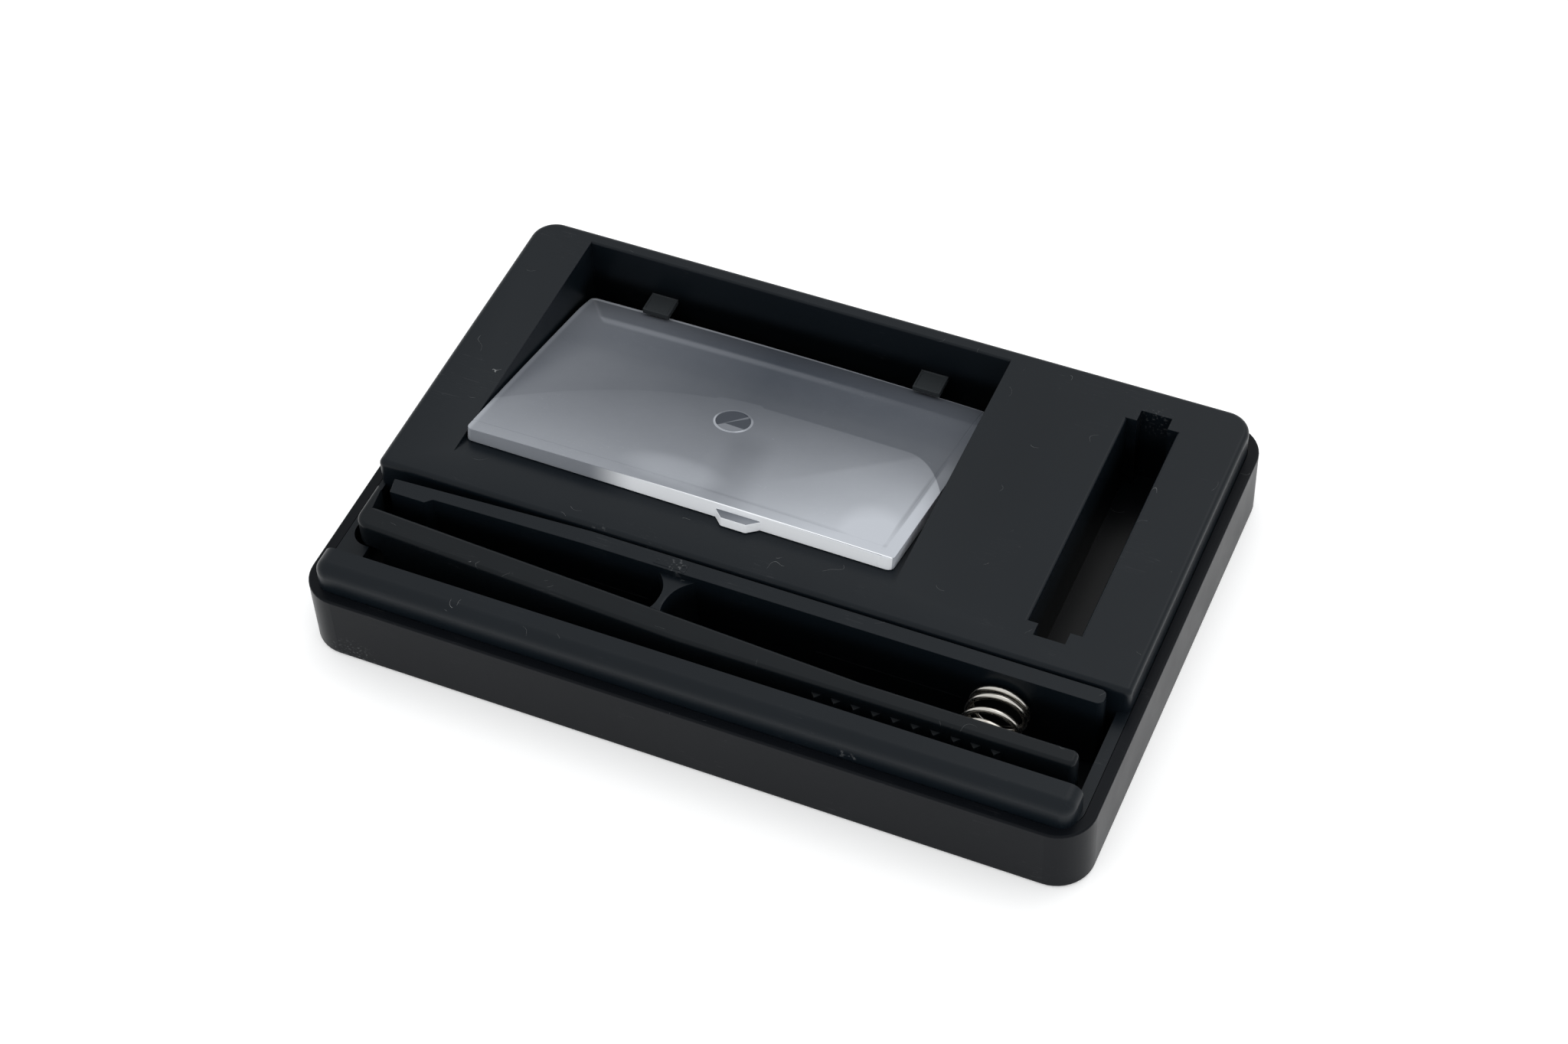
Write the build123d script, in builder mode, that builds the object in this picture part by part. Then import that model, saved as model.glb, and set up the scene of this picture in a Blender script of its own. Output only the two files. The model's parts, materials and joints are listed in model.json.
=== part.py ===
"""Darkroom film carrier: a desk tray holding a deck with a window panel, a mount slot and film tongs.

Frame: +X along the long side, +Y from the tongs trough towards the window, +Z up.
The origin is the centre of the tray's underside. All sizes are millimetres and degrees.
"""

import os
from math import cos, radians, sin, tan

from build123d import *

# ---------------------------------------------------------------- driving sizes

# Tray, the shallow pan that everything stands in
TRAY_LENGTH = 134.0
TRAY_DEPTH = 89.6
TRAY_HEIGHT = 13.2
TRAY_WALL = 1.85
TRAY_FLOOR = 1.5
TRAY_CORNER_RADIUS = 6.3
TRAY_FOOT_FILLET = 0.7
TRAY_RIM_FILLET = 0.35

# Deck, one moulding that drops into the tray
DECK_SEAM = 0.1
DECK_SKIN = 1.8
DECK_TOP = 18.4
DECK_EDGE_FILLET = 1.0
DECK_FRONT_CORNER_RADIUS = 1.1
CORE_CORNER_RADIUS = 2.0

# Front rail of the deck
RAIL_WIDTH = 4.9
RAIL_END_INSET = 0.6
RAIL_CORNER_RADIUS = 2.4
RAIL_SHOULDER_RADIUS = 2.1

# Trough for the tongs, between the rail and the raised block
TROUGH_WIDTH = 19.15
TROUGH_FLOOR = 2.9
TROUGH_LEFT_WALL = 0.95
TROUGH_RIGHT_WALL = 1.95
LEDGE_LENGTH = 3.9
LEDGE_DEPTH = 5.95
LEDGE_RADIUS = 3.0

# Window recess, a ramp that falls away from the front
RECESS_WIDTH = 77.6
RECESS_FRONT_LAND = 6.6
RECESS_REAR_WALL = 2.75
RECESS_CENTRE_X = -15.5
RECESS_EDGE_FILLET = 0.4
RAMP_ANGLE = 14.3

# Mount slot, a blind well with a narrower tongue at each end
SLOT_CENTRE_X = 49.8
SLOT_WIDTH = 8.7
SLOT_END_LAND = 5.425
TONGUE_WIDTH = 5.3
TONGUE_REACH = 2.4
SLOT_FLOOR = 2.7
SLOT_EDGE_FILLET = 0.5

# Window panel, an opal plate with a slightly crowned face
PANEL_SIDE_GAP = 0.8
PANEL_REAR_GAP = 3.7
PANEL_THICKNESS = 2.9
PANEL_CROWN_RADIUS = 1400.0
PANEL_CORNER_RADIUS = 1.2
PANEL_SETBACK = 3.4
PANEL_SHIFT = -0.4
PANEL_REST_GAP = 0.12
PANEL_SKEW = -0.5
TAB_OFFSET_X = 11.2
TAB_ROOT_WIDTH = 8.2
TAB_TIP_WIDTH = 4.6
TAB_REACH = 2.0
TAB_ROOT = 1.0
TAB_CORNER_RADIUS = 0.67
TAB_THICKNESS = 1.9

# Panel clips, two flat tongues let into the recess's rear wall
CLIP_WIDTH = 4.9
CLIP_THICKNESS = 1.0
CLIP_REACH = 4.2
CLIP_TAIL = 1.5
CLIP_PANEL_GAP = 0.27
CLIP_SPREAD = 50.4
CLIP_FIT = 0.05
CLIP_NOSE_FILLET = 0.2

# Tongs: a rear arm, a sprung lever with a hooked jaw, and a flexure web between them
TONGS_FLOOR_GAP = 0.4
TONGS_REAR_GAP = 0.75
TONGS_END_GAP = 1.4
ARM_THICKNESS = 2.8
ARM_TIP_THICKNESS = 1.75
ARM_TIP_SET = 1.65
ARM_TIP_OVERHANG = 0.55
ARM_TAPER_LENGTH = 34.1
JAW_PAD_LENGTH = 7.3
JAW_PAD_THICKNESS = 1.05
JAW_SPAN = 3.6
LEVER_TAIL_SPAN = 9.3
LEVER_JAW_THICKNESS = 4.4
LEVER_TAIL_THICKNESS = 3.15
LEVER_REAR_BEND_X = 26.0
LEVER_FRONT_BEND_X = -4.0
LEVER_EDGE_FILLET = 0.8
HOOK_THICKNESS = 1.6
HOOK_GAP = 1.1
HOOK_REACH = 4.4
HOOK_RADIUS = 2.6
HOOK_TIP_NARROWING = 0.48
HOOK_TIP_SLANT = 0.8
HOOK_END_CLEARANCE = 1.5
LEDGE_CLEARANCE = 0.4
RELIEF_MARGIN = 2.4
BAR_END_RADIUS = 1.1
PIVOT_X = -9.8
PIVOT_SPAN = 5.4
WEB_WAIST = 1.2
WEB_REAR_WIDTH = 7.3
WEB_FRONT_WIDTH = 3.2
WEB_LEAN = 0.55
WEB_REAR_GAP = 0.03
WEB_LEVER_GAP = 0.15
TEETH_COUNT = 10
TEETH_START_X = 19.7
TEETH_PITCH = 3.28
TOOTH_WIDTH = 1.7
TOOTH_HEIGHT = 0.9
TEETH_TOP_DROP = 2.3
TEETH_FOOT = 6.0
TOOTH_ROOT = 0.4

# Compression spring between the two finger ends
SPRING_X = 45.6
SPRING_HEIGHT = 11.1
SPRING_OUTER_DIAMETER = 10.1
SPRING_WIRE = 1.0
SPRING_TURNS = 4.25
SPRING_END_GAP = 0.06
PEG_CLEARANCE = 0.35
PEG_REACH = 1.5

# Snap lugs that hold the deck in the tray
LUG_LENGTH = 8.0
LUG_HEIGHT = 1.2
LUG_PROUD = 0.45
LUG_LEVEL = 7.0
LUG_POCKET_CLEARANCE = 0.15
LUG_SPREAD_X = 80.0
LUG_SPREAD_Y = 44.0

# ---------------------------------------------------------------- derived places

deck_length = TRAY_LENGTH - 2 * (TRAY_WALL + DECK_SEAM)
deck_depth = TRAY_DEPTH - 2 * (TRAY_WALL + DECK_SEAM)
deck_corner_radius = TRAY_CORNER_RADIUS - TRAY_WALL - DECK_SEAM
deck_right = deck_length / 2
deck_rear = deck_depth / 2

rail_rear_y = -deck_rear + RAIL_WIDTH
block_front_y = rail_rear_y + TROUGH_WIDTH
trough_left_x = -deck_right + TROUGH_LEFT_WALL
trough_right_x = deck_right - TROUGH_RIGHT_WALL
trough_centre_y = (rail_rear_y + block_front_y) / 2
ledge_rear_y = rail_rear_y + LEDGE_DEPTH
ledge_right_x = trough_left_x + LEDGE_LENGTH

recess_rear_y = deck_rear - RECESS_REAR_WALL
recess_front_y = block_front_y + RECESS_FRONT_LAND
recess_depth = recess_rear_y - recess_front_y
recess_left_x = RECESS_CENTRE_X - RECESS_WIDTH / 2
recess_right_x = RECESS_CENTRE_X + RECESS_WIDTH / 2
ramp_slope = tan(radians(RAMP_ANGLE))
ramp_foot_z = DECK_TOP - recess_depth * ramp_slope
ramp_normal = Vector(0, sin(radians(RAMP_ANGLE)), cos(radians(RAMP_ANGLE)))
ramp_down = Vector(0, cos(radians(RAMP_ANGLE)), -sin(radians(RAMP_ANGLE)))

slot_centre_y = (block_front_y + deck_rear) / 2
tongue_length = deck_rear - block_front_y - 2 * SLOT_END_LAND
slot_length = tongue_length - 2 * TONGUE_REACH
slot_left_x = SLOT_CENTRE_X - SLOT_WIDTH / 2
slot_right_x = SLOT_CENTRE_X + SLOT_WIDTH / 2

panel_width = RECESS_WIDTH - 2 * PANEL_SIDE_GAP
panel_length = recess_depth / cos(radians(RAMP_ANGLE)) - PANEL_SETBACK - PANEL_REAR_GAP
ramp_front = Vector(RECESS_CENTRE_X + PANEL_SHIFT, recess_front_y, DECK_TOP)
panel_rear_top = (
    ramp_front + ramp_down * (PANEL_SETBACK + panel_length) + ramp_normal * (PANEL_REST_GAP + PANEL_THICKNESS)
)
clip_centre_z = panel_rear_top.Z + CLIP_PANEL_GAP + CLIP_THICKNESS / 2
clip_places = {
    "panel_clip_left": RECESS_CENTRE_X - CLIP_SPREAD / 2,
    "panel_clip_right": RECESS_CENTRE_X + CLIP_SPREAD / 2,
}

core_roof = DECK_TOP - DECK_SKIN
core_front_y = block_front_y + DECK_SKIN
core_rear_y = deck_rear - DECK_SKIN

tongs_bottom = TROUGH_FLOOR + TONGS_FLOOR_GAP
tongs_top = DECK_TOP
tongs_height = tongs_top - tongs_bottom
arm_rear_y = block_front_y - TONGS_REAR_GAP
arm_front_y = arm_rear_y - ARM_THICKNESS
bar_right_x = trough_right_x - TONGS_END_GAP
hook_left_x = trough_left_x + HOOK_END_CLEARANCE
hook_right_x = hook_left_x + HOOK_THICKNESS
arm_tip_x = hook_right_x + HOOK_GAP
taper_start_x = arm_tip_x + ARM_TAPER_LENGTH
arm_tip_rear_y = arm_rear_y - ARM_TIP_SET
pad_front_y = arm_tip_rear_y - ARM_TIP_THICKNESS - JAW_PAD_THICKNESS
lever_jaw_rear_y = pad_front_y - JAW_SPAN
lever_tail_rear_y = arm_front_y - LEVER_TAIL_SPAN
lever_jaw_front_y = lever_jaw_rear_y - LEVER_JAW_THICKNESS
lever_tail_front_y = lever_tail_rear_y - LEVER_TAIL_THICKNESS
pivot_y = arm_front_y - PIVOT_SPAN


def lever_rear_y(x):
    """The lever's rear face: a straight taper from the jaw to its bend, then parallel to X."""
    run = min((x - hook_right_x) / (LEVER_REAR_BEND_X - hook_right_x), 1.0)
    return lever_jaw_rear_y + run * (lever_tail_rear_y - lever_jaw_rear_y)


def lever_front_y(x):
    """The lever's front face, which bends sooner, so that the lever is thickest near the web."""
    run = min((x - hook_right_x) / (LEVER_FRONT_BEND_X - hook_right_x), 1.0)
    return lever_jaw_front_y + run * (lever_tail_front_y - lever_jaw_front_y)


def runs_along_front(edge):
    """Whether one of the lever's top edges belongs to its front face or to the hook's outer corner."""
    middle = edge @ 0.5
    return middle.X < bar_right_x - BAR_END_RADIUS and middle.Y < lever_front_y(middle.X) + HOOK_RADIUS / 2


def save(builder, name):
    """Label one finished piece and write it as its own STEP file."""
    builder.part.label = name
    export_step(builder.part, f"parts/{name}.step")


lug_places = [(x, side * deck_rear, 0) for x in (-LUG_SPREAD_X / 2, LUG_SPREAD_X / 2) for side in (-1, 1)]
lug_places += [(side * deck_right, y, 90) for y in (-LUG_SPREAD_Y / 2, LUG_SPREAD_Y / 2) for side in (-1, 1)]

os.makedirs("parts", exist_ok=True)

# ---------------------------------------------------------------- tray

with BuildPart() as base_tray:
    with BuildSketch():
        RectangleRounded(TRAY_LENGTH, TRAY_DEPTH, TRAY_CORNER_RADIUS)
    extrude(amount=TRAY_HEIGHT)
    fillet(base_tray.faces().sort_by(Axis.Z)[0].edges(), TRAY_FOOT_FILLET)
    fillet(base_tray.faces().sort_by(Axis.Z)[-1].edges(), TRAY_RIM_FILLET)
    with BuildSketch(Plane.XY.offset(TRAY_FLOOR)):
        RectangleRounded(
            TRAY_LENGTH - 2 * TRAY_WALL,
            TRAY_DEPTH - 2 * TRAY_WALL,
            TRAY_CORNER_RADIUS - TRAY_WALL,
        )
    extrude(amount=TRAY_HEIGHT, mode=Mode.SUBTRACT)
    # pockets in the wall's inner face that the deck's lugs snap into
    for x, y, turn in lug_places:
        with Locations(Location((x, y, LUG_LEVEL), (0, 0, turn))):
            Box(
                LUG_LENGTH + 2 * LUG_POCKET_CLEARANCE,
                2 * (LUG_PROUD + LUG_POCKET_CLEARANCE),
                LUG_HEIGHT + 2 * LUG_POCKET_CLEARANCE,
                mode=Mode.SUBTRACT,
            )
save(base_tray, "base_tray")

# ---------------------------------------------------------------- deck housing

with BuildPart() as deck_housing:
    # plinth that fills the tray up to its rim
    with BuildSketch(Plane.XY.offset(TRAY_FLOOR)):
        RectangleRounded(deck_length, deck_depth, deck_corner_radius)
    extrude(amount=TRAY_HEIGHT - TRAY_FLOOR)

    # raised block behind the trough
    with BuildSketch(Plane.XY.offset(TRAY_HEIGHT)) as block_outline:
        with BuildLine():
            Polyline(
                (-deck_right, block_front_y),
                (deck_right, block_front_y),
                (deck_right, deck_rear),
                (-deck_right, deck_rear),
                close=True,
            )
        make_face()
        fillet(block_outline.vertices().group_by(Axis.Y)[0], DECK_FRONT_CORNER_RADIUS)
        fillet(block_outline.vertices().group_by(Axis.Y)[-1], deck_corner_radius)
    extrude(amount=DECK_TOP - TRAY_HEIGHT)
    fillet(deck_housing.faces().sort_by(Axis.Z)[-1].edges(), DECK_EDGE_FILLET)

    # front rail, rounded in plan at its front corners and over its front shoulder
    with BuildSketch(Plane.XY.offset(TRAY_HEIGHT)) as rail_outline:
        with Locations((0, rail_rear_y - RAIL_WIDTH / 2)):
            Rectangle(deck_length - 2 * RAIL_END_INSET, RAIL_WIDTH)
        fillet(rail_outline.vertices().group_by(Axis.Y)[0], RAIL_CORNER_RADIUS)
    extrude(amount=DECK_TOP - TRAY_HEIGHT)
    rail_top = deck_housing.faces().filter_by(Plane.XY).group_by(Axis.Z)[-1].sort_by(Axis.Y)[0]
    fillet(rail_top.edges().sort_by(Axis.Y)[:-1], RAIL_SHOULDER_RADIUS)

    # trough, with a ledge at its front left corner
    with BuildSketch(Plane.XY.offset(TROUGH_FLOOR)) as trough_outline:
        with BuildLine():
            Polyline(
                (ledge_right_x, rail_rear_y),
                (trough_right_x, rail_rear_y),
                (trough_right_x, block_front_y),
                (trough_left_x, block_front_y),
                (trough_left_x, ledge_rear_y),
                (ledge_right_x, ledge_rear_y),
                close=True,
            )
        make_face()
        corner_at_ledge = trough_outline.vertices().sort_by_distance((trough_left_x, ledge_rear_y))[0]
        fillet(corner_at_ledge, LEDGE_RADIUS)
    extrude(amount=DECK_TOP, mode=Mode.SUBTRACT)

    # window recess: a wedge whose floor falls from the top face to the rear wall
    with BuildSketch(Plane.YZ.offset(recess_left_x)):
        with BuildLine():
            Polyline(
                (recess_front_y, DECK_TOP),
                (recess_rear_y, ramp_foot_z),
                (recess_rear_y, DECK_TOP),
                close=True,
            )
        make_face()
    extrude(amount=RECESS_WIDTH, mode=Mode.SUBTRACT)

    # mount slot: a wide well crossed by a longer, narrower one
    with BuildSketch(Plane.XY.offset(SLOT_FLOOR)):
        with Locations((SLOT_CENTRE_X, slot_centre_y)):
            Rectangle(SLOT_WIDTH, slot_length)
            Rectangle(TONGUE_WIDTH, tongue_length)
    extrude(amount=DECK_TOP, mode=Mode.SUBTRACT)
    block_top = deck_housing.faces().filter_by(Plane.XY).group_by(Axis.Z)[-1].sort_by(Axis.Y)[-1]
    slot_rim = (
        block_top.edges()
        .filter_by_position(Axis.X, slot_left_x, slot_right_x)
        .filter_by_position(Axis.Y, slot_centre_y - tongue_length / 2, slot_centre_y + tongue_length / 2)
    )
    fillet(slot_rim.filter_by(Axis.Y).sort_by(SortBy.LENGTH)[-2:], SLOT_EDGE_FILLET)
    block_top = deck_housing.faces().filter_by(Plane.XY).group_by(Axis.Z)[-1].sort_by(Axis.Y)[-1]
    recess_rim = block_top.edges().sort_by_distance((RECESS_CENTRE_X, recess_rear_y, DECK_TOP))[0]
    fillet(recess_rim, RECESS_EDGE_FILLET)

    # cores that thin the block from below, each leaving one skin to its neighbours
    core_spans = [
        (-deck_right + DECK_SKIN, recess_left_x - DECK_SKIN),
        (recess_right_x + DECK_SKIN, slot_left_x - DECK_SKIN),
        (slot_right_x + DECK_SKIN, deck_right - DECK_SKIN),
    ]
    for left, right in core_spans:
        with BuildSketch(Plane.XY.offset(TRAY_FLOOR)):
            with Locations(((left + right) / 2, (core_front_y + core_rear_y) / 2)):
                RectangleRounded(right - left, core_rear_y - core_front_y, CORE_CORNER_RADIUS)
        extrude(amount=core_roof - TRAY_FLOOR, mode=Mode.SUBTRACT)
    # the core under the ramp follows the ramp one skin below it
    skin_drop = DECK_SKIN / cos(radians(RAMP_ANGLE))
    under_ramp_rear_y = recess_rear_y - DECK_SKIN
    under_ramp_rear_z = ramp_foot_z + DECK_SKIN * ramp_slope - skin_drop
    roof_end_y = under_ramp_rear_y - (core_roof - under_ramp_rear_z) / ramp_slope
    with BuildSketch(Plane.YZ.offset(recess_left_x)):
        with BuildLine():
            Polyline(
                (core_front_y, TRAY_FLOOR),
                (under_ramp_rear_y, TRAY_FLOOR),
                (under_ramp_rear_y, under_ramp_rear_z),
                (roof_end_y, core_roof),
                (core_front_y, core_roof),
                close=True,
            )
        make_face()
    extrude(amount=RECESS_WIDTH, mode=Mode.SUBTRACT)

    # sockets in the rear wall for the two panel clips
    for clip_x in clip_places.values():
        with Locations((clip_x, recess_rear_y + CLIP_TAIL / 2, clip_centre_z)):
            Box(
                CLIP_WIDTH + 2 * CLIP_FIT,
                CLIP_TAIL + 2 * CLIP_FIT,
                CLIP_THICKNESS + 2 * CLIP_FIT,
                mode=Mode.SUBTRACT,
            )

    # snap lugs on the plinth's sides
    for x, y, turn in lug_places:
        with Locations(Location((x, y, LUG_LEVEL), (0, 0, turn))):
            Box(LUG_LENGTH, 2 * LUG_PROUD, LUG_HEIGHT)
save(deck_housing, "deck_housing")

# ---------------------------------------------------------------- panel clips

for name, clip_x in clip_places.items():
    with BuildPart() as panel_clip:
        with Locations((clip_x, recess_rear_y + (CLIP_TAIL - CLIP_REACH) / 2, clip_centre_z)):
            Box(CLIP_WIDTH, CLIP_REACH + CLIP_TAIL, CLIP_THICKNESS)
        nose = panel_clip.edges().filter_by(Axis.X).sort_by(Axis.Y)[:2]
        fillet(nose, CLIP_NOSE_FILLET)
    save(panel_clip, name)

# ---------------------------------------------------------------- window panel

panel_centre = ramp_front + ramp_down * (PANEL_SETBACK + panel_length / 2) + ramp_normal * PANEL_REST_GAP
panel_across = Vector(cos(radians(PANEL_SKEW)), 0, 0) + ramp_down * sin(radians(PANEL_SKEW))
panel_plane = Plane(origin=panel_centre, x_dir=panel_across, z_dir=ramp_normal)
panel_crown = (panel_length / 2) ** 2 / (2 * PANEL_CROWN_RADIUS)

with BuildPart() as window_panel:
    with BuildSketch(panel_plane):
        RectangleRounded(panel_width, panel_length, PANEL_CORNER_RADIUS)
    extrude(amount=PANEL_THICKNESS + panel_crown)
    # the crown is the cap of one large sphere, highest over the panel's centre
    with Locations(panel_plane.offset(PANEL_THICKNESS + panel_crown - PANEL_CROWN_RADIUS)):
        Sphere(PANEL_CROWN_RADIUS, mode=Mode.INTERSECT)
    # finger tab on the front edge
    with BuildSketch(panel_plane) as tab_outline:
        with BuildLine():
            Polyline(
                (TAB_OFFSET_X - TAB_ROOT_WIDTH / 2, TAB_ROOT - panel_length / 2),
                (TAB_OFFSET_X - TAB_ROOT_WIDTH / 2, -panel_length / 2),
                (TAB_OFFSET_X - TAB_TIP_WIDTH / 2, -panel_length / 2 - TAB_REACH),
                (TAB_OFFSET_X + TAB_TIP_WIDTH / 2, -panel_length / 2 - TAB_REACH),
                (TAB_OFFSET_X + TAB_ROOT_WIDTH / 2, -panel_length / 2),
                (TAB_OFFSET_X + TAB_ROOT_WIDTH / 2, TAB_ROOT - panel_length / 2),
                close=True,
            )
        make_face()
        fillet(tab_outline.vertices().group_by(Axis.Y)[0], TAB_CORNER_RADIUS)
    extrude(amount=TAB_THICKNESS)
save(window_panel, "window_panel")

# ---------------------------------------------------------------- tongs

with BuildPart() as tongs_rear_arm:
    with BuildSketch(Plane.XY.offset(tongs_bottom)) as arm_outline:
        with BuildLine():
            Polyline(
                (bar_right_x, arm_rear_y),
                (taper_start_x, arm_rear_y),
                (arm_tip_x - ARM_TIP_OVERHANG, arm_tip_rear_y),
                (arm_tip_x, pad_front_y),
                (arm_tip_x + JAW_PAD_LENGTH - JAW_PAD_THICKNESS, pad_front_y),
                (arm_tip_x + JAW_PAD_LENGTH, pad_front_y + JAW_PAD_THICKNESS),
                (taper_start_x, arm_front_y),
                (bar_right_x, arm_front_y),
                close=True,
            )
        make_face()
        fillet(arm_outline.vertices().sort_by(Axis.X)[-2:], BAR_END_RADIUS)
    extrude(amount=tongs_height)
    # spigot that centres the spring
    with BuildSketch(Plane((SPRING_X, arm_front_y, SPRING_HEIGHT), x_dir=(1, 0, 0), z_dir=(0, -1, 0))):
        Circle(SPRING_OUTER_DIAMETER / 2 - SPRING_WIRE - PEG_CLEARANCE)
    extrude(amount=PEG_REACH)
save(tongs_rear_arm, "tongs_rear_arm")

with BuildPart() as tongs_lever:
    hook_tip_y = lever_jaw_rear_y + HOOK_REACH
    with BuildSketch(Plane.XY.offset(tongs_bottom)) as lever_outline:
        with BuildLine():
            Polyline(
                (bar_right_x, lever_tail_rear_y),
                (LEVER_REAR_BEND_X, lever_tail_rear_y),
                (hook_right_x, lever_jaw_rear_y),
                (hook_right_x - HOOK_TIP_NARROWING, hook_tip_y - HOOK_TIP_SLANT),
                (hook_left_x, hook_tip_y),
                (hook_left_x, lever_front_y(hook_left_x)),
                (LEVER_FRONT_BEND_X, lever_tail_front_y),
                (bar_right_x, lever_tail_front_y),
                close=True,
            )
        make_face()
        outer_corner = (hook_left_x, lever_front_y(hook_left_x))
        fillet(lever_outline.vertices().sort_by_distance(outer_corner)[0], HOOK_RADIUS)
        fillet(lever_outline.vertices().sort_by(Axis.X)[-2:], BAR_END_RADIUS)
    extrude(amount=tongs_height)
    # rounded front top edge, round the hook's corner as well
    lever_top = tongs_lever.faces().sort_by(Axis.Z)[-1]
    front_edges = [edge for edge in lever_top.edges() if runs_along_front(edge)]
    fillet(front_edges, LEVER_EDGE_FILLET)
    # the jaw end is relieved below, so that it swings over the deck's ledge
    relief_right_x = ledge_right_x + RELIEF_MARGIN
    relief_top = TRAY_HEIGHT + LEDGE_CLEARANCE
    with BuildSketch(Plane.XY.offset(tongs_bottom)):
        with Locations(((hook_left_x + relief_right_x) / 2, trough_centre_y)):
            Rectangle(relief_right_x - hook_left_x, TROUGH_WIDTH)
    extrude(amount=relief_top - tongs_bottom, mode=Mode.SUBTRACT)
    # upright grip teeth on the front face
    with BuildSketch(Plane.XY.offset(TEETH_FOOT)):
        for index in range(TEETH_COUNT):
            tooth_x = TEETH_START_X + index * TEETH_PITCH
            face_y = lever_front_y(tooth_x)
            with BuildLine():
                Polyline(
                    (tooth_x - TOOTH_WIDTH / 2, face_y + TOOTH_ROOT),
                    (tooth_x - TOOTH_WIDTH / 2, face_y),
                    (tooth_x, face_y - TOOTH_HEIGHT),
                    (tooth_x + TOOTH_WIDTH / 2, face_y),
                    (tooth_x + TOOTH_WIDTH / 2, face_y + TOOTH_ROOT),
                    close=True,
                )
            make_face()
    extrude(amount=tongs_top - TEETH_TOP_DROP - TEETH_FOOT)
    # spigot that centres the spring
    with BuildSketch(
        Plane((SPRING_X, lever_rear_y(SPRING_X), SPRING_HEIGHT), x_dir=(-1, 0, 0), z_dir=(0, 1, 0))
    ):
        Circle(SPRING_OUTER_DIAMETER / 2 - SPRING_WIRE - PEG_CLEARANCE)
    extrude(amount=PEG_REACH)
save(tongs_lever, "tongs_lever")

with BuildPart() as tongs_flexure_web:
    rear_y = arm_front_y - WEB_REAR_GAP
    left_foot_x = PIVOT_X - WEB_FRONT_WIDTH / 2
    right_foot_x = PIVOT_X + WEB_FRONT_WIDTH / 2
    left_foot = (left_foot_x, lever_rear_y(left_foot_x) + WEB_LEVER_GAP)
    right_foot = (right_foot_x, lever_rear_y(right_foot_x) + WEB_LEVER_GAP)
    left_head = (PIVOT_X + WEB_LEAN - WEB_REAR_WIDTH / 2, rear_y)
    right_head = (PIVOT_X + WEB_LEAN + WEB_REAR_WIDTH / 2, rear_y)
    with BuildSketch(Plane.XY.offset(tongs_bottom)):
        with BuildLine():
            Line(left_head, right_head)
            ThreePointArc(right_head, (PIVOT_X + WEB_WAIST / 2, pivot_y), right_foot)
            Line(right_foot, left_foot)
            ThreePointArc(left_foot, (PIVOT_X - WEB_WAIST / 2, pivot_y), left_head)
        make_face()
    extrude(amount=tongs_height)
save(tongs_flexure_web, "tongs_flexure_web")

# ---------------------------------------------------------------- spring

spring_rear_y = arm_front_y - SPRING_END_GAP - SPRING_WIRE / 2
spring_front_y = lever_rear_y(SPRING_X) + SPRING_END_GAP + SPRING_WIRE / 2
with BuildPart() as tongs_spring:
    with BuildLine() as coil_line:
        coil_length = spring_rear_y - spring_front_y
        Helix(
            pitch=coil_length / SPRING_TURNS,
            height=coil_length,
            radius=(SPRING_OUTER_DIAMETER - SPRING_WIRE) / 2,
            center=(SPRING_X, spring_rear_y, SPRING_HEIGHT),
            direction=(0, -1, 0),
        )
    with BuildSketch(coil_line.line ^ 0):
        Circle(SPRING_WIRE / 2)
    sweep(path=coil_line.line, is_frenet=True)
save(tongs_spring, "tongs_spring")
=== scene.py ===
"""Looks for the film carrier tray: refined mouldings, opal window, ribbed clips and sprung tongs.

Everything is in the part's own frame: +X along the long side, +Y towards the window, +Z up.
Sizes in the classes are millimetres, and MM turns them into Blender's metres.
"""

import json
import logging
from dataclasses import dataclass, field
from enum import Enum
from math import cos, pi, radians, sin
from typing import Callable, Iterable, Sequence

import bpy
from mathutils import Matrix, Vector

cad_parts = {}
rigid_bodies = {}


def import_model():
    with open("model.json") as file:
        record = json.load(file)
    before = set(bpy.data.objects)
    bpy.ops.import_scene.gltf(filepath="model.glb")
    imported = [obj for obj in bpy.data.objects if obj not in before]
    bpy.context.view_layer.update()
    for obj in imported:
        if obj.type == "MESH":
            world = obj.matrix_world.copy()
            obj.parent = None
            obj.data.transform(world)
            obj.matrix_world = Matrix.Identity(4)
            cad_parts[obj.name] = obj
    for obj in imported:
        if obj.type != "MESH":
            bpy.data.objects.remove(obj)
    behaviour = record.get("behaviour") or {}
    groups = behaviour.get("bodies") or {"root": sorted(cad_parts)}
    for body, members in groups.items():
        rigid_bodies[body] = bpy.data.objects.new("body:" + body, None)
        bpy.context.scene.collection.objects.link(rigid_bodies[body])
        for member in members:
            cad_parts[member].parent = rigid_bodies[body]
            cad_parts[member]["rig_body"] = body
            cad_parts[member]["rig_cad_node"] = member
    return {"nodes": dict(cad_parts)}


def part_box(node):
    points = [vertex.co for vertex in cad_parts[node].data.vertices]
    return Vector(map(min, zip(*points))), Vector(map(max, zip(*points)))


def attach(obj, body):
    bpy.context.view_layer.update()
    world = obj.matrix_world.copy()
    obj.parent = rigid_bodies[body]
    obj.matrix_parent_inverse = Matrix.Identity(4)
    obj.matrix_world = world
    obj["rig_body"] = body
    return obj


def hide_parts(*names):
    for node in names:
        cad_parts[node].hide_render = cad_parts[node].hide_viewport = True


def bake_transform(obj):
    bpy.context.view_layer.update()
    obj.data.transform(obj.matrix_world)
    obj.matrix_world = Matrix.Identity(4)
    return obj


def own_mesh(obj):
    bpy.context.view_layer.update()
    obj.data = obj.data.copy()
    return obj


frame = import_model()

logging.basicConfig(level=logging.INFO, format="%(message)s")
log = logging.getLogger("film_carrier")

MM = 0.001
Point = tuple[float, float, float]
Colour = tuple[float, float, float]


class Body(Enum):
    """The part's moving bodies."""

    BASE = "base"
    WINDOW = "window"
    TONGS = "tongs"
    LEVER = "lever"


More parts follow.
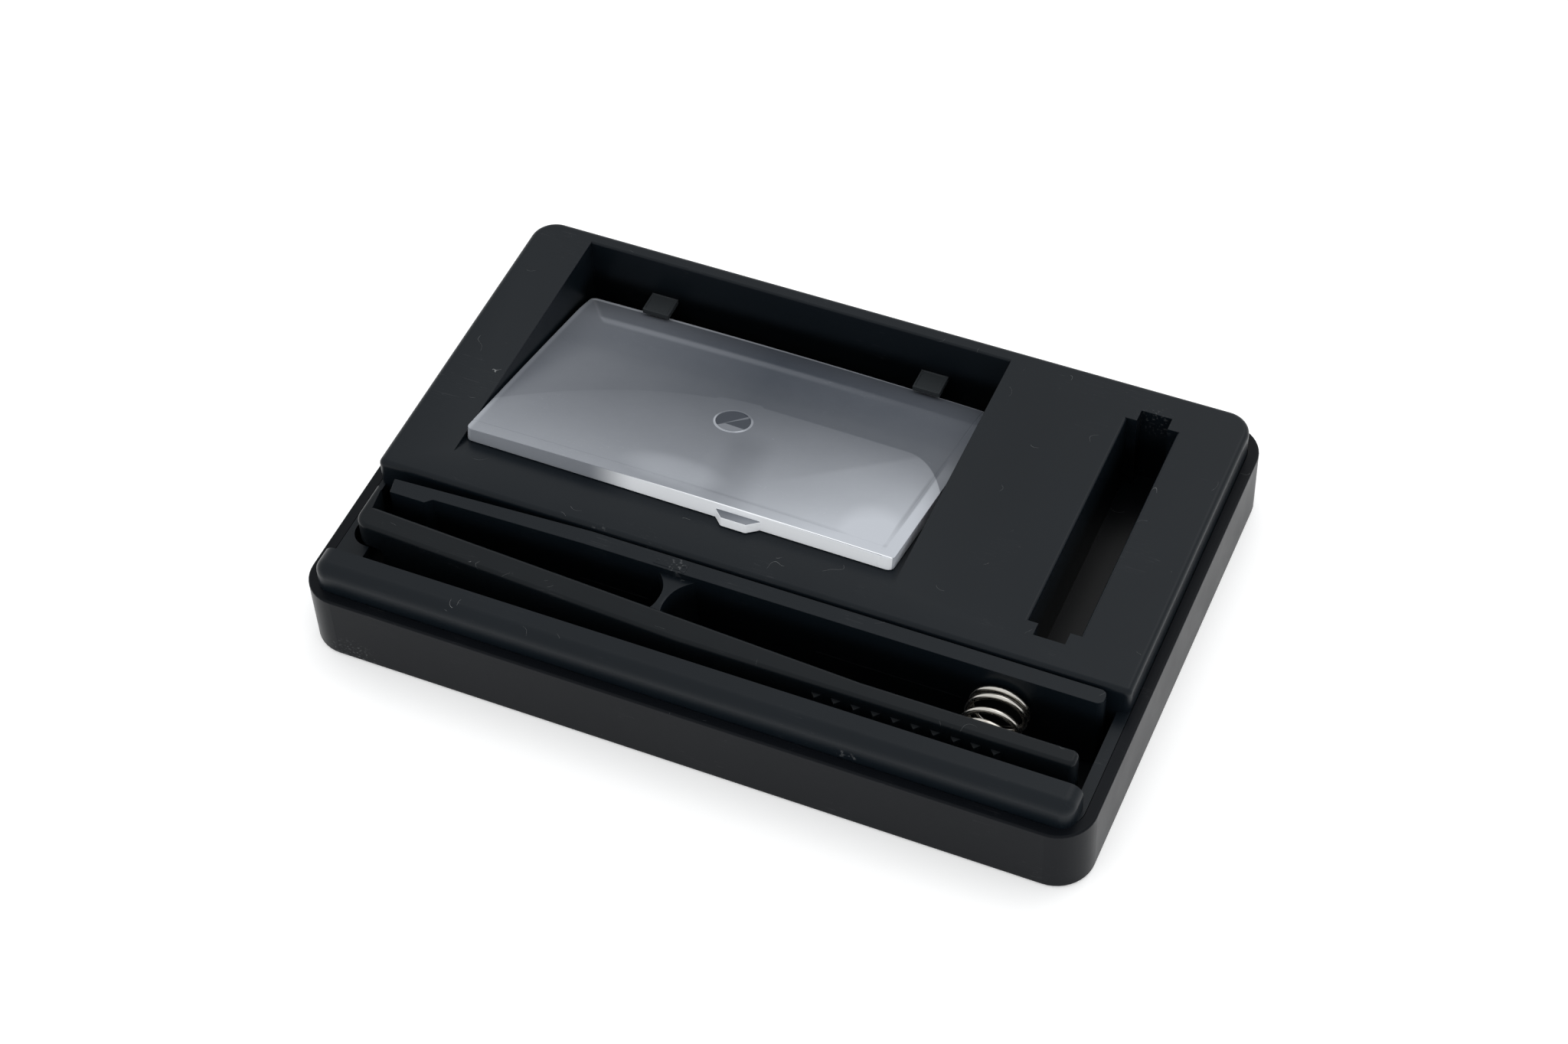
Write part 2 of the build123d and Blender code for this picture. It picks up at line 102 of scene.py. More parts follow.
class Slot(Enum):
    """The record's material slots."""

    TRAY = "tray_plastic"
    DECK = "deck_plastic"
    CLIP = "clip_plastic"
    TONGS = "tongs_plastic"
    WINDOW = "opal_panel"
    SPRING = "spring_wire"


# ---------------------------------------------------------------- shader graph


class Socket:
    """One output of a shader node, used in Python arithmetic to add Math nodes."""

    def __init__(self, graph: "Graph", socket: bpy.types.NodeSocket) -> None:
        """Keep the graph that new nodes go to and the socket that this value comes from."""
        self.graph = graph
        self.socket = socket

    def math(self, operation: str, *others: "Socket | float") -> "Socket":
        """Apply one Math operation to this value.

        Args:
            operation: The Math node's operation.
            others: The remaining operands, in order.

        Returns:
            The result's socket.
        """
        inputs = dict(enumerate((self, *others)))
        return self.graph.node("ShaderNodeMath", {"operation": operation}, inputs)

    def __add__(self, other: "Socket | float") -> "Socket":
        """Sum."""
        return self.math("ADD", other)

    __radd__ = __add__

    def __mul__(self, other: "Socket | float") -> "Socket":
        """Product."""
        return self.math("MULTIPLY", other)

    __rmul__ = __mul__

    def __sub__(self, other: "Socket | float") -> "Socket":
        """Difference."""
        return self.math("SUBTRACT", other)

    def __rsub__(self, other: float) -> "Socket":
        """Difference from a number."""
        return self.graph.node("ShaderNodeMath", {"operation": "SUBTRACT"}, {0: other, 1: self})

    def __truediv__(self, other: "Socket | float") -> "Socket":
        """Quotient."""
        return self.math("DIVIDE", other)

    def __neg__(self) -> "Socket":
        """Negative."""
        return self * -1.0

    def __abs__(self) -> "Socket":
        """Size without its sign."""
        return self.math("ABSOLUTE")

    def above(self, limit: float, softness: float) -> "Socket":
        """A mask that rises from 0 to 1 across a limit.

        Args:
            limit: The value where the mask is one half.
            softness: How wide the rise is.

        Returns:
            The mask's socket.
        """
        settings = {"interpolation_type": "SMOOTHSTEP"}
        low, high = limit - softness / 2, limit + softness / 2
        return self.graph.node("ShaderNodeMapRange", settings, {0: self, 1: low, 2: high, 3: 0.0, 4: 1.0})

    def below(self, limit: float, softness: float) -> "Socket":
        """A mask that falls from 1 to 0 across a limit."""
        return 1.0 - self.above(limit, softness)

    def at_least(self, other: "Socket | float") -> "Socket":
        """The larger of two values."""
        return self.math("MAXIMUM", other)

    def at_most(self, other: "Socket | float") -> "Socket":
        """The smaller of two values."""
        return self.math("MINIMUM", other)


class Graph:
    """A material and the nodes that make its finish."""

    def __init__(self, name: str) -> None:
        """Start a material with a Principled shader and its object coordinates in millimetres."""
        self.material = bpy.data.materials.new(name)
        self.material.use_nodes = True
        self.tree = self.material.node_tree
        self.shader = next(n for n in self.tree.nodes if n.type == "BSDF_PRINCIPLED")
        coordinates = self.tree.nodes.new("ShaderNodeTexCoord")
        self.normal = Socket(self, coordinates.outputs["Normal"])
        self.place = self.vector("SCALE", Socket(self, coordinates.outputs["Object"]), scale=1.0 / MM)
        self.height = self.split(self.place)[2]

    def node(self, kind: str, settings: dict, inputs: dict, output: int | str = 0) -> Socket:
        """Add one node.

        Args:
            kind: The node's type.
            settings: Properties, which are set before the inputs.
            inputs: Values or sockets by input name or index.
            output: The output that is returned.

        Returns:
            The chosen output as a socket.
        """
        made = self.tree.nodes.new(kind)
        for key, value in settings.items():
            setattr(made, key, value)
        for key, value in inputs.items():
            if isinstance(value, Socket):
                self.tree.links.new(value.socket, made.inputs[key])
            else:
                made.inputs[key].default_value = value
        return Socket(self, made.outputs[output])

    def vector(
        self, operation: str, first: Socket, second: Sequence[float] = (0, 0, 0), scale: float = 1.0
    ) -> Socket:
        """Apply one Vector Math operation, such as SCALE or DOT_PRODUCT, with constant other operands."""
        output = "Value" if operation == "DOT_PRODUCT" else "Vector"
        inputs = {0: first, 3: scale} if operation == "SCALE" else {0: first, 1: tuple(second)}
        return self.node("ShaderNodeVectorMath", {"operation": operation}, inputs, output)

    def split(self, vector: Socket) -> tuple[Socket, Socket, Socket]:
        """The three components of a vector."""
        made = self.tree.nodes.new("ShaderNodeSeparateXYZ")
        self.tree.links.new(vector.socket, made.inputs[0])
        return tuple(Socket(self, output) for output in made.outputs)

    def stretched(self, scales: Point, turn: float = 0.0) -> Socket:
        """Object coordinates stretched per axis, after a turn about Z in degrees."""
        inputs = {"Vector": self.place, "Rotation": (0.0, 0.0, radians(turn)), "Scale": scales}
        return self.node("ShaderNodeMapping", {"vector_type": "POINT"}, inputs, "Vector")

    def noise(self, scale: float, detail: float = 2.0, where: Socket | None = None) -> Socket:
        """Noise with scale features per millimetre, read at where or at the object coordinates."""
        inputs = {"Vector": where or self.place, "Scale": scale, "Detail": detail, "Roughness": 0.55}
        return self.node("ShaderNodeTexNoise", {}, inputs)

    def mix(self, factor: Socket | float, first: Socket | Colour, second: Socket | Colour) -> Socket:
        """Mix two colours."""
        first, second = (c if isinstance(c, Socket) else (*c, 1.0) for c in (first, second))
        return self.node("ShaderNodeMix", {"data_type": "RGBA"}, {0: factor, 6: first, 7: second}, 2)

    def feed(self, name: str, value: Socket | float | tuple) -> None:
        """Give one of the shader's inputs a constant or a link."""
        if isinstance(value, Socket):
            self.tree.links.new(value.socket, self.shader.inputs[name])
        else:
            self.shader.inputs[name].default_value = value

    def bump(self, height: Socket, depth_mm: float) -> None:
        """Feed a height pattern to the shader's Normal, its full swing being depth_mm deep."""
        inputs = {"Strength": 1.0, "Distance": depth_mm * MM, "Height": height}
        self.feed("Normal", self.node("ShaderNodeBump", {}, inputs, "Normal"))


# ---------------------------------------------------------------- finishes


@dataclass(frozen=True)
class MouldedPlastic:
    """Injection-moulded black plastic with a fine grain, dust, lint and handling marks.

    Faces below one height get a painted shade: their tone is darkened towards black, standing in for the
    dimmer light in deep places.
    """

    name: str
    tone: Colour = (0.0042, 0.0067, 0.0096)
    roughness: float = 0.33
    specular: float = 0.16
    grain_depth: float = 0.005
    dust: float = 1.0
    lint: float = 1.0
    scuffs: tuple[tuple[Point, float], ...] = ()
    # Painted shade: faces below this height are darkened to a share of the tone.
    painted_shade_below: float = 0.0
    painted_shade_share: float = 0.25
    scratch_colour: Colour = (0.055, 0.056, 0.060)
    dust_colour: Colour = (0.30, 0.31, 0.31)
    scuff_colour: Colour = (0.11, 0.115, 0.12)

    def dust_mask(self, g: Graph) -> Socket:
        """Specks a tenth of a millimetre across, one in a few square millimetres."""
        cell = {"feature": "F1", "voronoi_dimensions": "3D"}
        inputs = {"Vector": g.place, "Scale": 0.30, "Randomness": 1.0}
        distance = g.node("ShaderNodeTexVoronoi", cell, inputs, "Distance")
        tint = g.node("ShaderNodeTexVoronoi", cell, inputs, "Color")
        pick = g.split(tint)[0]
        radius = (pick - 0.86).at_least(0.0) * 0.13
        return (distance - radius).below(0.0, 0.012) * pick.above(0.88, 0.02)

    def lint_mask(self, g: Graph) -> Socket:
        """Short curled hairs, which are stretches of a noise's contour lines."""
        contour = abs(g.noise(0.16, 1.0) - 0.5).below(0.0007, 0.0007)
        stretch = g.noise(0.30, 0.0, g.stretched((1.0, 1.0, 1.0), 40.0)).above(0.74, 0.02)
        return contour * stretch

    def scratch_mask(self, g: Graph, turn: float) -> Socket:
        """Hairline scratches that run one way."""
        lines = abs(g.noise(1.0, 1.0, g.stretched((0.05, 1.3, 0.6), turn)) - 0.5).below(0.0016, 0.002)
        return lines * g.noise(0.09, 1.0).above(0.60, 0.06)

    def scuff_mask(self, g: Graph) -> Socket | float:
        """Rubbed patches round the places where this piece has been knocked."""
        total: Socket | float = 0.0
        for centre, reach in self.scuffs:
            offset = g.vector("SUBTRACT", g.place, centre)
            distance = g.node("ShaderNodeVectorMath", {"operation": "LENGTH"}, {0: offset}, "Value")
            total = distance.below(reach * 0.6, reach * 0.8) + total
        if isinstance(total, Socket):
            total = total * g.noise(1.9, 4.0).above(0.60, 0.10)
        return total

    def build(self) -> bpy.types.Material:
        """Make the material."""
        g = Graph(self.name)
        upward = g.split(g.normal)[2].above(0.35, 0.5)
        specks = self.dust_mask(g) * (0.25 + 0.75 * upward) * self.dust
        hairs = self.lint_mask(g) * upward * self.lint
        scratches = (self.scratch_mask(g, 17.0) + self.scratch_mask(g, -52.0)).at_most(1.0) * 0.25
        clouds = g.noise(0.045, 3.0)
        tone = g.mix(clouds, tuple(c * 0.86 for c in self.tone), tuple(c * 1.16 for c in self.tone))
        # Painted shade: faces below the set height are darkened towards black.
        if self.painted_shade_below:
            painted_shade = g.height.below(self.painted_shade_below - 2.0, 4.0)
            tone = g.mix(painted_shade, tone, tuple(c * self.painted_shade_share for c in self.tone))
        tone = g.mix(scratches, tone, self.scratch_colour)
        tone = g.mix((specks * 0.9 + hairs * 0.6).at_most(1.0), tone, self.dust_colour)
        rough = self.roughness + (g.noise(0.12, 3.0) - 0.5) * 0.10 + (specks + hairs) * 0.3
        scuff = self.scuff_mask(g)
        if isinstance(scuff, Socket):
            tone = g.mix(scuff * 0.55, tone, self.scuff_colour)
            rough = rough + scuff * 0.2
        g.feed("Base Color", tone)
        g.feed("Roughness", rough)
        g.feed("Specular IOR Level", self.specular)
        grain = g.noise(5.5, 2.0) * 0.5 + g.noise(1.4, 2.0) * 0.5
        g.bump(grain - scratches * 0.6 + specks * 2.0 + hairs * 2.0, self.grain_depth)
        return g.material


@dataclass(frozen=True)
class SpringSteel:
    """Drawn spring wire, bright with faint brown staining."""

    name: str
    bright: Colour = (0.56, 0.54, 0.50)
    stain: Colour = (0.28, 0.215, 0.16)

    def build(self) -> bpy.types.Material:
        """Make the material."""
        g = Graph(self.name)
        patches = g.noise(0.55, 4.0).above(0.66, 0.18) * 0.45
        g.feed("Base Color", g.mix(patches, self.bright, self.stain))
        g.feed("Metallic", 1.0)
        g.feed("Roughness", 0.24 + patches * 0.25)
        g.bump(g.noise(9.0, 1.0, g.stretched((1.0, 0.35, 1.0))), 0.001)
        return g.material


@dataclass(frozen=True)
class OpalAcrylic:
    """The window's milky acrylic, with light and shade painted into its colour: a painted reflection that
    leaves a dim rear half behind an arched edge and a lighter front half.

    The shading is a fixed colour and gives off no light. Brightness is worked out as a level from 0, black,
    to 1, white, as the eye grades it, and level_colour() turns it into the acrylic's colour. Places are x, to
    the right, and s, down the plate towards its front edge, both in millimetres from its middle.
    """

    name: str
    centre: Point
    along: Point
    skew: float
    length: float
    width: float
    gate: tuple[float, float]
    gate_radius: float
    shadow: Colour = (0.018, 0.025, 0.038)
    glow: Colour = (0.455, 0.478, 0.520)
    shadow_level: float = 0.294
    glow_level: float = 0.8235
    eye_power: float = 2.2
    rear_level: float = 0.365
    front_level: float = 0.445
    groove_inset: float = 2.45
    gate_turn: float = 45.0
    # Painted glow: the pale colour of the front edge and the tab's sides.
    face: Colour = (0.92, 0.94, 0.97)

    def where(self, g: Graph) -> tuple[Socket, Socket]:
        """The plate's own x and s at each point."""
        offset = g.vector("SUBTRACT", g.place, self.centre)
        s = -g.vector("DOT_PRODUCT", offset, self.along)
        x = g.split(offset)[0] - s * sin(radians(self.skew))
        return x, s

    def rear_half(self, x: Socket, s: Socket) -> Socket:
        """The dim half, its brightness a painted reflection that rises to the left and right, with painted
        light rising towards the rear edge, painted shade on a bevelled band along that edge, and painted
        highlights on the band's lower ridge and on the mitre at its left end.
        """
        half_length, half_width = self.length / 2, self.width / 2
        field = self.rear_level + 0.0037 * (-x).at_least(0.0) + 0.0019 * x.at_least(0.0)
        # Painted light: brighter towards the rear edge, against the shade there.
        field = field + (-9.0 - s).at_least(0.0) * 0.0060
        mitre = x + half_width - 0.5 - (s + half_length) * 0.73
        band = (s + half_length).below(5.6, 0.7) * mitre.above(0.0, 0.5)
        ridge_highlight = abs(s + half_length - 6.3).below(0.75, 1.1) * mitre.above(0.0, 0.8) * x.below(12.0, 40.0)
        edge = abs(mitre).below(0.35, 0.6) * (s + half_length).below(6.3, 1.0)
        return field - band * 0.040 + ridge_highlight * 0.085 + edge * 0.045

    def front_half(self, x: Socket, s: Socket) -> Socket:
        """The light half, a painted reflection brightest at the front right, lighter beyond a diagonal crease
        line, with two painted highlights and a painted shadow by the gate.
        """
        right = x.at_least(0.0)
        field = self.front_level + 0.0038 * right + 0.0075 * s + 0.00018 * right * s
        crease = (x + s).above(27.0, 2.0) * s.below(11.0, 12.0) * 0.035
        corner_highlight = self.patch(x - 31.4, s - 17.0, 5.5, 6.5) * 0.055
        tab_highlight = self.patch(x + 2.5, s - 18.5, 10.0, 4.5) * 0.075
        shade = abs(x - 4.5 - s * 0.15).below(3.2, 5.0) * s.above(5.0, 6.0) * 0.05
        return field + crease + corner_highlight + tab_highlight - shade

    def arch(self, x: Socket, s: Socket) -> Socket:
        """The mask of the front half, the painted reflection's lighter side, whose edge arches over the gate
        in a low step.
        """
        fall_left, fall_right = (5.0 - x).at_least(0.0), (x - 29.0).at_least(0.0)
        rise = 0.0098 * fall_left * fall_left + 0.10 * fall_right * fall_right
        step = abs(x + 1.0).below(3.9, 0.8) * 0.55
        return (s - rise + step + 4.7).above(0.0, 0.4)

    def patch(self, dx: Socket, ds: Socket, reach_x: float, reach_s: float) -> Socket:
        """A soft oval patch, 1 at its centre."""
        square = (dx / reach_x) * (dx / reach_x) + (ds / reach_s) * (ds / reach_s)
        return square.below(0.55, 1.1)

    def rims(self, x: Socket, s: Socket) -> Socket:
        """Painted highlights along the plate's rear, left and right edges, and painted shade in the grooves
        inside its right and front rims.
        """
        half_length, half_width = self.length / 2, self.width / 2
        front_part = s.above(-4.0, 6.0)
        rear_highlight = (s + half_length).below(0.50, 0.3) * 0.30
        left_highlight = (x + half_width).below(0.8, 0.7) * 0.085
        right_rim_highlight = (x - half_width).above(-2.0, 0.4) * front_part * 0.085
        inset = self.groove_inset
        groove = abs(x - half_width + inset).below(0.45, 0.4) * s.above(1.0, 8.0) * -0.07
        front_groove_shade = abs(s - half_length + inset).below(0.35, 0.4) * x.above(2.0, 20.0) * -0.03
        return rear_highlight + left_highlight + right_rim_highlight + groove + front_groove_shade

    def gate_level(self, g: Graph, x: Socket, s: Socket, level: Socket) -> Socket:
        """Paint light and shade onto the gate mark: painted shade on two dim halves, split by a painted
        highlight along a crease, with painted highlights on a wedge and on its lip.
        """
        dx, up = x - self.gate[0], -s - self.gate[1]
        reach = (dx * dx + up * up).math("SQRT")
        turn = cos(radians(self.gate_turn))
        side, run = (up - dx) * turn, (up + dx) * turn
        inside = reach.below(self.gate_radius - 0.2, 0.15)
        halves = 0.275 + side.below(0.0, 0.1) * 0.03
        crease = (side + 0.12 - run * 0.10).below(0.32, 0.12) * (side + 0.05).above(0.0, 0.12) * 0.20
        wedge = (side + 0.1).below(0.0, 0.15) * (run + side * 0.9 + 1.6).below(0.0, 0.2) * 0.22
        lip = abs(reach - self.gate_radius).below(0.17, 0.12)
        lip = lip * (0.05 + 0.22 * (-up - 0.4 * dx).above(0.6, 2.6) + 0.14 * (dx - up * 0.2).above(2.2, 1.0))
        return level + inside * (halves + crease + wedge - level) + lip

    def level(self, g: Graph) -> Socket:
        """How bright the plate is from place to place, with its light and shade painted in."""
        x, s = self.where(g)
        rear = self.rear_half(x, s)
        level = rear + self.arch(x, s) * (self.front_half(x, s) - rear) + self.rims(x, s)
        # Painted shade: the tab's upper face is darkened.
        return self.gate_level(g, x, s, level) - self.tab_top(g, s) * 0.17

    def tab_top(self, g: Graph, s: Socket) -> Socket:
        """The mask of the finger tab's upper face."""
        return g.split(g.normal)[2].above(0.80, 0.10) * (s - self.length / 2).above(0.1, 0.1)

    def front_face(self, g: Graph) -> Socket:
        """The mask of the sawn front edge and of the tab's sides, which are painted palest, a painted glow.
        """
        _, s = self.where(g)
        return (s - self.length / 2).above(-0.10, 0.08) * (1.0 - self.tab_top(g, s))

    def level_colour(self, g: Graph, level: Socket) -> Socket:
        """The acrylic's colour at a level."""
        low, high = self.shadow_level**self.eye_power, self.glow_level**self.eye_power
        factor = (level.at_least(0.0).math("POWER", self.eye_power) - low) / (high - low)
        return g.mix(factor.at_least(0.0).at_most(1.0), self.shadow, self.glow)

    def build(self) -> bpy.types.Material:
        """Make the material."""
        g = Graph(self.name)
        haze = (g.noise(0.10, 4.0) - 0.5) * 0.035 + (g.noise(0.9, 3.0) - 0.5) * 0.010
        scratch = abs(g.noise(1.0, 1.0, g.stretched((0.30, 0.9, 0.5), 62.0)) - 0.5).below(0.0012, 0.002)
        scratch = scratch * g.noise(0.12, 1.0).above(0.58, 0.1) * 0.10
        body = self.level_colour(g, self.level(g) + haze + scratch)
        # Painted glow: the front edge and the tab's sides take the pale face colour.
        g.feed("Base Color", g.mix(self.front_face(g), body, self.face))
        g.feed("Roughness", 0.24 + g.noise(0.09, 3.0) * 0.12 + scratch)
        g.feed("Specular IOR Level", 0.32)
        g.bump(g.noise(0.35, 2.0) - scratch, 0.008)
        return g.material


@dataclass(frozen=True)
class StudioPaper:
    """The pale sweep that the part stands on."""

    name: str = "studio_paper"
    tone: Colour = (0.86, 0.86, 0.86)
    inner_light: float = 0.32

    def build(self) -> bpy.types.Material:
        """Make the material."""
        g = Graph(self.name)
        fibre = g.noise(0.02, 3.0)
        g.feed("Emission Color", (1.0, 1.0, 1.0, 1.0))
        g.feed("Emission Strength", self.inner_light)
        g.feed("Base Color", g.mix(fibre, tuple(c * 0.99 for c in self.tone), self.tone))
        g.feed("Roughness", 0.9)
        g.feed("Specular IOR Level", 0.1)
        return g.material


# ---------------------------------------------------------------- modelling


class Bench:
    """Modelling by Blender's own operators, one piece at a time."""

    @staticmethod
    def pick(piece: bpy.types.Object) -> bpy.types.Object:
        """Select one object alone and make it active."""
        bpy.ops.object.select_all(action="DESELECT")
        piece.hide_viewport = False
        piece.select_set(True)
        bpy.context.view_layer.objects.active = piece
        return piece

    @staticmethod
    def added(name: str) -> bpy.types.Object:
        """Name the primitive that an operator has just added, with its place put into its mesh."""
        piece = bpy.context.view_layer.objects.active
        piece.name = name
        piece.data.name = name
        Bench.pick(piece)
        bpy.ops.object.transform_apply(location=True, rotation=True, scale=True)
        return piece

    @staticmethod
    def block(name: str, low: Point, high: Point) -> bpy.types.Object:
        """A box between two corners, in millimetres."""
        bpy.ops.object.select_all(action="DESELECT")
        centre = [(a + b) / 2 * MM for a, b in zip(low, high)]
        size = [(b - a) * MM for a, b in zip(low, high)]
        bpy.ops.mesh.primitive_cube_add(size=1.0, location=centre, scale=size)
        return Bench.added(name)

    @staticmethod
    def select_faces(piece: bpy.types.Object, test: Callable[[Vector, Vector], bool]) -> None:
        """Select the faces whose centre, in millimetres, and normal pass a test.

        Args:
            piece: A mesh object in object mode.
            test: Takes a face's centre and normal.
        """
        mesh = piece.data
        for group in (mesh.vertices, mesh.edges, mesh.polygons):
            group.foreach_set("select", [False] * len(group))
        for face in mesh.polygons:
            face.select = test(face.center / MM, face.normal)

    @staticmethod
    def cut(piece: bpy.types.Object, axis: int, places: Iterable[float]) -> None:
        """Bisect the whole mesh across one axis at each place, in millimetres."""
        Bench.pick(piece)
        bpy.ops.object.mode_set(mode="EDIT")
        for place in places:
            point, normal = [0.0, 0.0, 0.0], [0.0, 0.0, 0.0]
            point[axis], normal[axis] = place * MM, 1.0
            bpy.ops.mesh.select_all(action="SELECT")
            bpy.ops.mesh.bisect(plane_co=point, plane_no=normal)
        bpy.ops.object.mode_set(mode="OBJECT")

    @staticmethod
    def modify(piece: bpy.types.Object, kind: str, **settings: object) -> None:
        """Add one modifier, set it and apply it."""
        Bench.pick(piece)
        modifier = piece.modifiers.new(kind.lower(), kind)
        for key, value in settings.items():
            setattr(modifier, key, value)
        bpy.ops.object.modifier_apply(modifier=modifier.name)

    @staticmethod
    def round_edges(piece: bpy.types.Object, width: float, segments: int = 2, angle: float = 32.0) -> None:
        """Bevel every edge sharper than an angle, in millimetres and degrees, and smooth the result."""
        Bench.modify(
            piece, "BEVEL", width=width * MM, segments=segments, limit_method="ANGLE",
            angle_limit=radians(angle), use_clamp_overlap=True, miter_outer="MITER_ARC",
        )
        Bench.smooth(piece)
        Bench.modify(piece, "WEIGHTED_NORMAL", keep_sharp=True, weight=100)

    @staticmethod
    def smooth(piece: bpy.types.Object, angle: float = 38.0) -> None:
        """Shade smooth wherever faces meet at less than an angle."""
        Bench.pick(piece)
        bpy.ops.object.shade_smooth_by_angle(angle=radians(angle))

    @staticmethod
    def join(name: str, pieces: Sequence[bpy.types.Object]) -> bpy.types.Object:
        """Join several meshes into the first and name the result."""
        Bench.pick(pieces[0])
        for piece in pieces[1:]:
            piece.select_set(True)
        if len(pieces) > 1:
            bpy.ops.object.join()
        whole = bpy.context.view_layer.objects.active
        whole.name = name
        whole.data.name = name
        return whole

    @staticmethod
    def refined(node: str, name: str) -> bpy.types.Object:
        """Copy a CAD node into a clean mesh, merged and with its flat faces made whole."""
        source = frame["nodes"][node]
        piece = source.copy()
        piece.data = source.data.copy()
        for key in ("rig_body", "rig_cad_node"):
            if key in piece:
                del piece[key]
        piece.parent = None
        piece.name = name
        piece.data.name = name
        bpy.context.scene.collection.objects.link(piece)
        Bench.pick(piece)
        bpy.ops.object.mode_set(mode="EDIT")
        bpy.ops.mesh.select_all(action="SELECT")
        bpy.ops.mesh.customdata_custom_splitnormals_clear()
        bpy.ops.mesh.remove_doubles(threshold=0.002 * MM)
        bpy.ops.mesh.dissolve_limited(angle_limit=radians(0.4))
        bpy.ops.object.mode_set(mode="OBJECT")
        return piece

    @staticmethod
    def hand_over(
        piece: bpy.types.Object, body: Body, slot: Slot, finish: bpy.types.Material, *nodes: str
    ) -> None:
        """Dress a finished piece, hang it on its body and let it stand for its CAD nodes.

        Args:
            piece: The finished object, with its place in its mesh.
            body: The body that it moves with.
            slot: Not used; the material slot that the piece would take its finish from.
            finish: Its material.
            nodes: The CAD nodes that it replaces.
        """
        piece.data.materials.clear()
        piece.data.materials.append(finish)
        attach(piece, body.value)
        if nodes:
            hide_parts(*nodes)
        log.info("%s: %d faces, on %s", piece.name, len(piece.data.polygons), body.value)


# ---------------------------------------------------------------- sub-assemblies


@dataclass
class TrayShell:
    """The shallow outer pan. Its CAD shape is kept, and dressed."""

    node: str = "base_tray"
    knock_inset: float = 9.0
    knock_reach: float = 6.5

    def build(self) -> None:
        """Dress the pan."""
        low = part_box(self.node)[0] / MM
        knocked_corner = (low.x + self.knock_inset, low.y + 0.5, low.z)
        finish = MouldedPlastic(
            "tray_black", tone=(0.0040, 0.0050, 0.0068), specular=0.076, lint=0.6,
            scuffs=((knocked_corner, self.knock_reach),),
        )
        tray = frame["nodes"][self.node]
        tray.data.materials.clear()
        tray.data.materials.append(finish.build())
        log.info("%s: CAD mesh dressed", self.node)


@dataclass
class DeckMoulding:
    """The deck with its rail, trough, window recess and mount slot, every hard edge broken."""

    node: str = "deck_housing"
    edge_break: float = 0.22
    slot_x: float = 49.8
    slot_rear_y: float = 36.0
    chip_x: float = -25.0
    block_front_y: float = -18.8
    rail_y: float = -42.6
    rail_mark_z: float = 14.4
    rail_mark_xs: tuple[float, float] = (27.0, 29.0)
    # Painted shade begins this far below the deck's top.
    painted_shade_depth: float = 5.0

    def build(self) -> None:
        """Refine the CAD shape and dress it."""
        deck = Bench.refined(self.node, "deck_moulding")
        Bench.round_edges(deck, self.edge_break, segments=2, angle=40.0)
        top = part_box(self.node)[1].z / MM
        marks = (
            ((self.slot_x, self.slot_rear_y, top - 2.0), 4.5),
            ((self.chip_x, self.block_front_y, top), 1.6),
            ((self.rail_mark_xs[0], self.rail_y, self.rail_mark_z), 1.3),
            ((self.rail_mark_xs[1], self.rail_y, self.rail_mark_z), 1.1),
        )
        finish = MouldedPlastic("deck_black", scuffs=marks, painted_shade_below=top - self.painted_shade_depth)
        Bench.hand_over(deck, Body.BASE, Slot.DECK, finish.build(), self.node)


@dataclass
class PanelClips:
    """Two flat tongues with a finely ribbed top, over the window's rear edge."""

    ribs: int = 7
    rib_depth: float = 0.12
    front_land: float = 0.5
    rear_land: float = 1.6
    edge_break: float = 0.04
    nodes: tuple[str, str] = ("panel_clip_left", "panel_clip_right")

    def build(self) -> None:
        """Model and dress both clips."""
        finish = MouldedPlastic(
            "clip_grey", tone=(0.030, 0.034, 0.037), roughness=0.5, dust=0.5, lint=0.0
        ).build()
        for node in self.nodes:
            low, high = (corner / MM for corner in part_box(node))
            clip = Bench.block(f"ribbed_{node}", tuple(low), tuple(high))
            pitch = (high.x - low.x) / (2 * self.ribs + 1)
            Bench.cut(clip, 0, [low.x + pitch * (i + 1) for i in range(2 * self.ribs)])
            ribs_front, ribs_rear = low.y + self.front_land, high.y - self.rear_land
            Bench.cut(clip, 1, [ribs_front, ribs_rear])

            def in_groove(centre: Vector, normal: Vector) -> bool:
                """Every other strip of the visible top."""
                strip = int((centre.x - low.x) / pitch)
                return normal.z > 0.9 and strip % 2 == 1 and ribs_front < centre.y < ribs_rear

            Bench.select_faces(clip, in_groove)
            bpy.ops.object.mode_set(mode="EDIT")
            bpy.ops.mesh.extrude_region_move(TRANSFORM_OT_translate={"value": (0, 0, -self.rib_depth * MM)})
            bpy.ops.object.mode_set(mode="OBJECT")
            Bench.round_edges(clip, self.edge_break, segments=1, angle=60.0)
            Bench.hand_over(clip, Body.BASE, Slot.CLIP, finish, node)


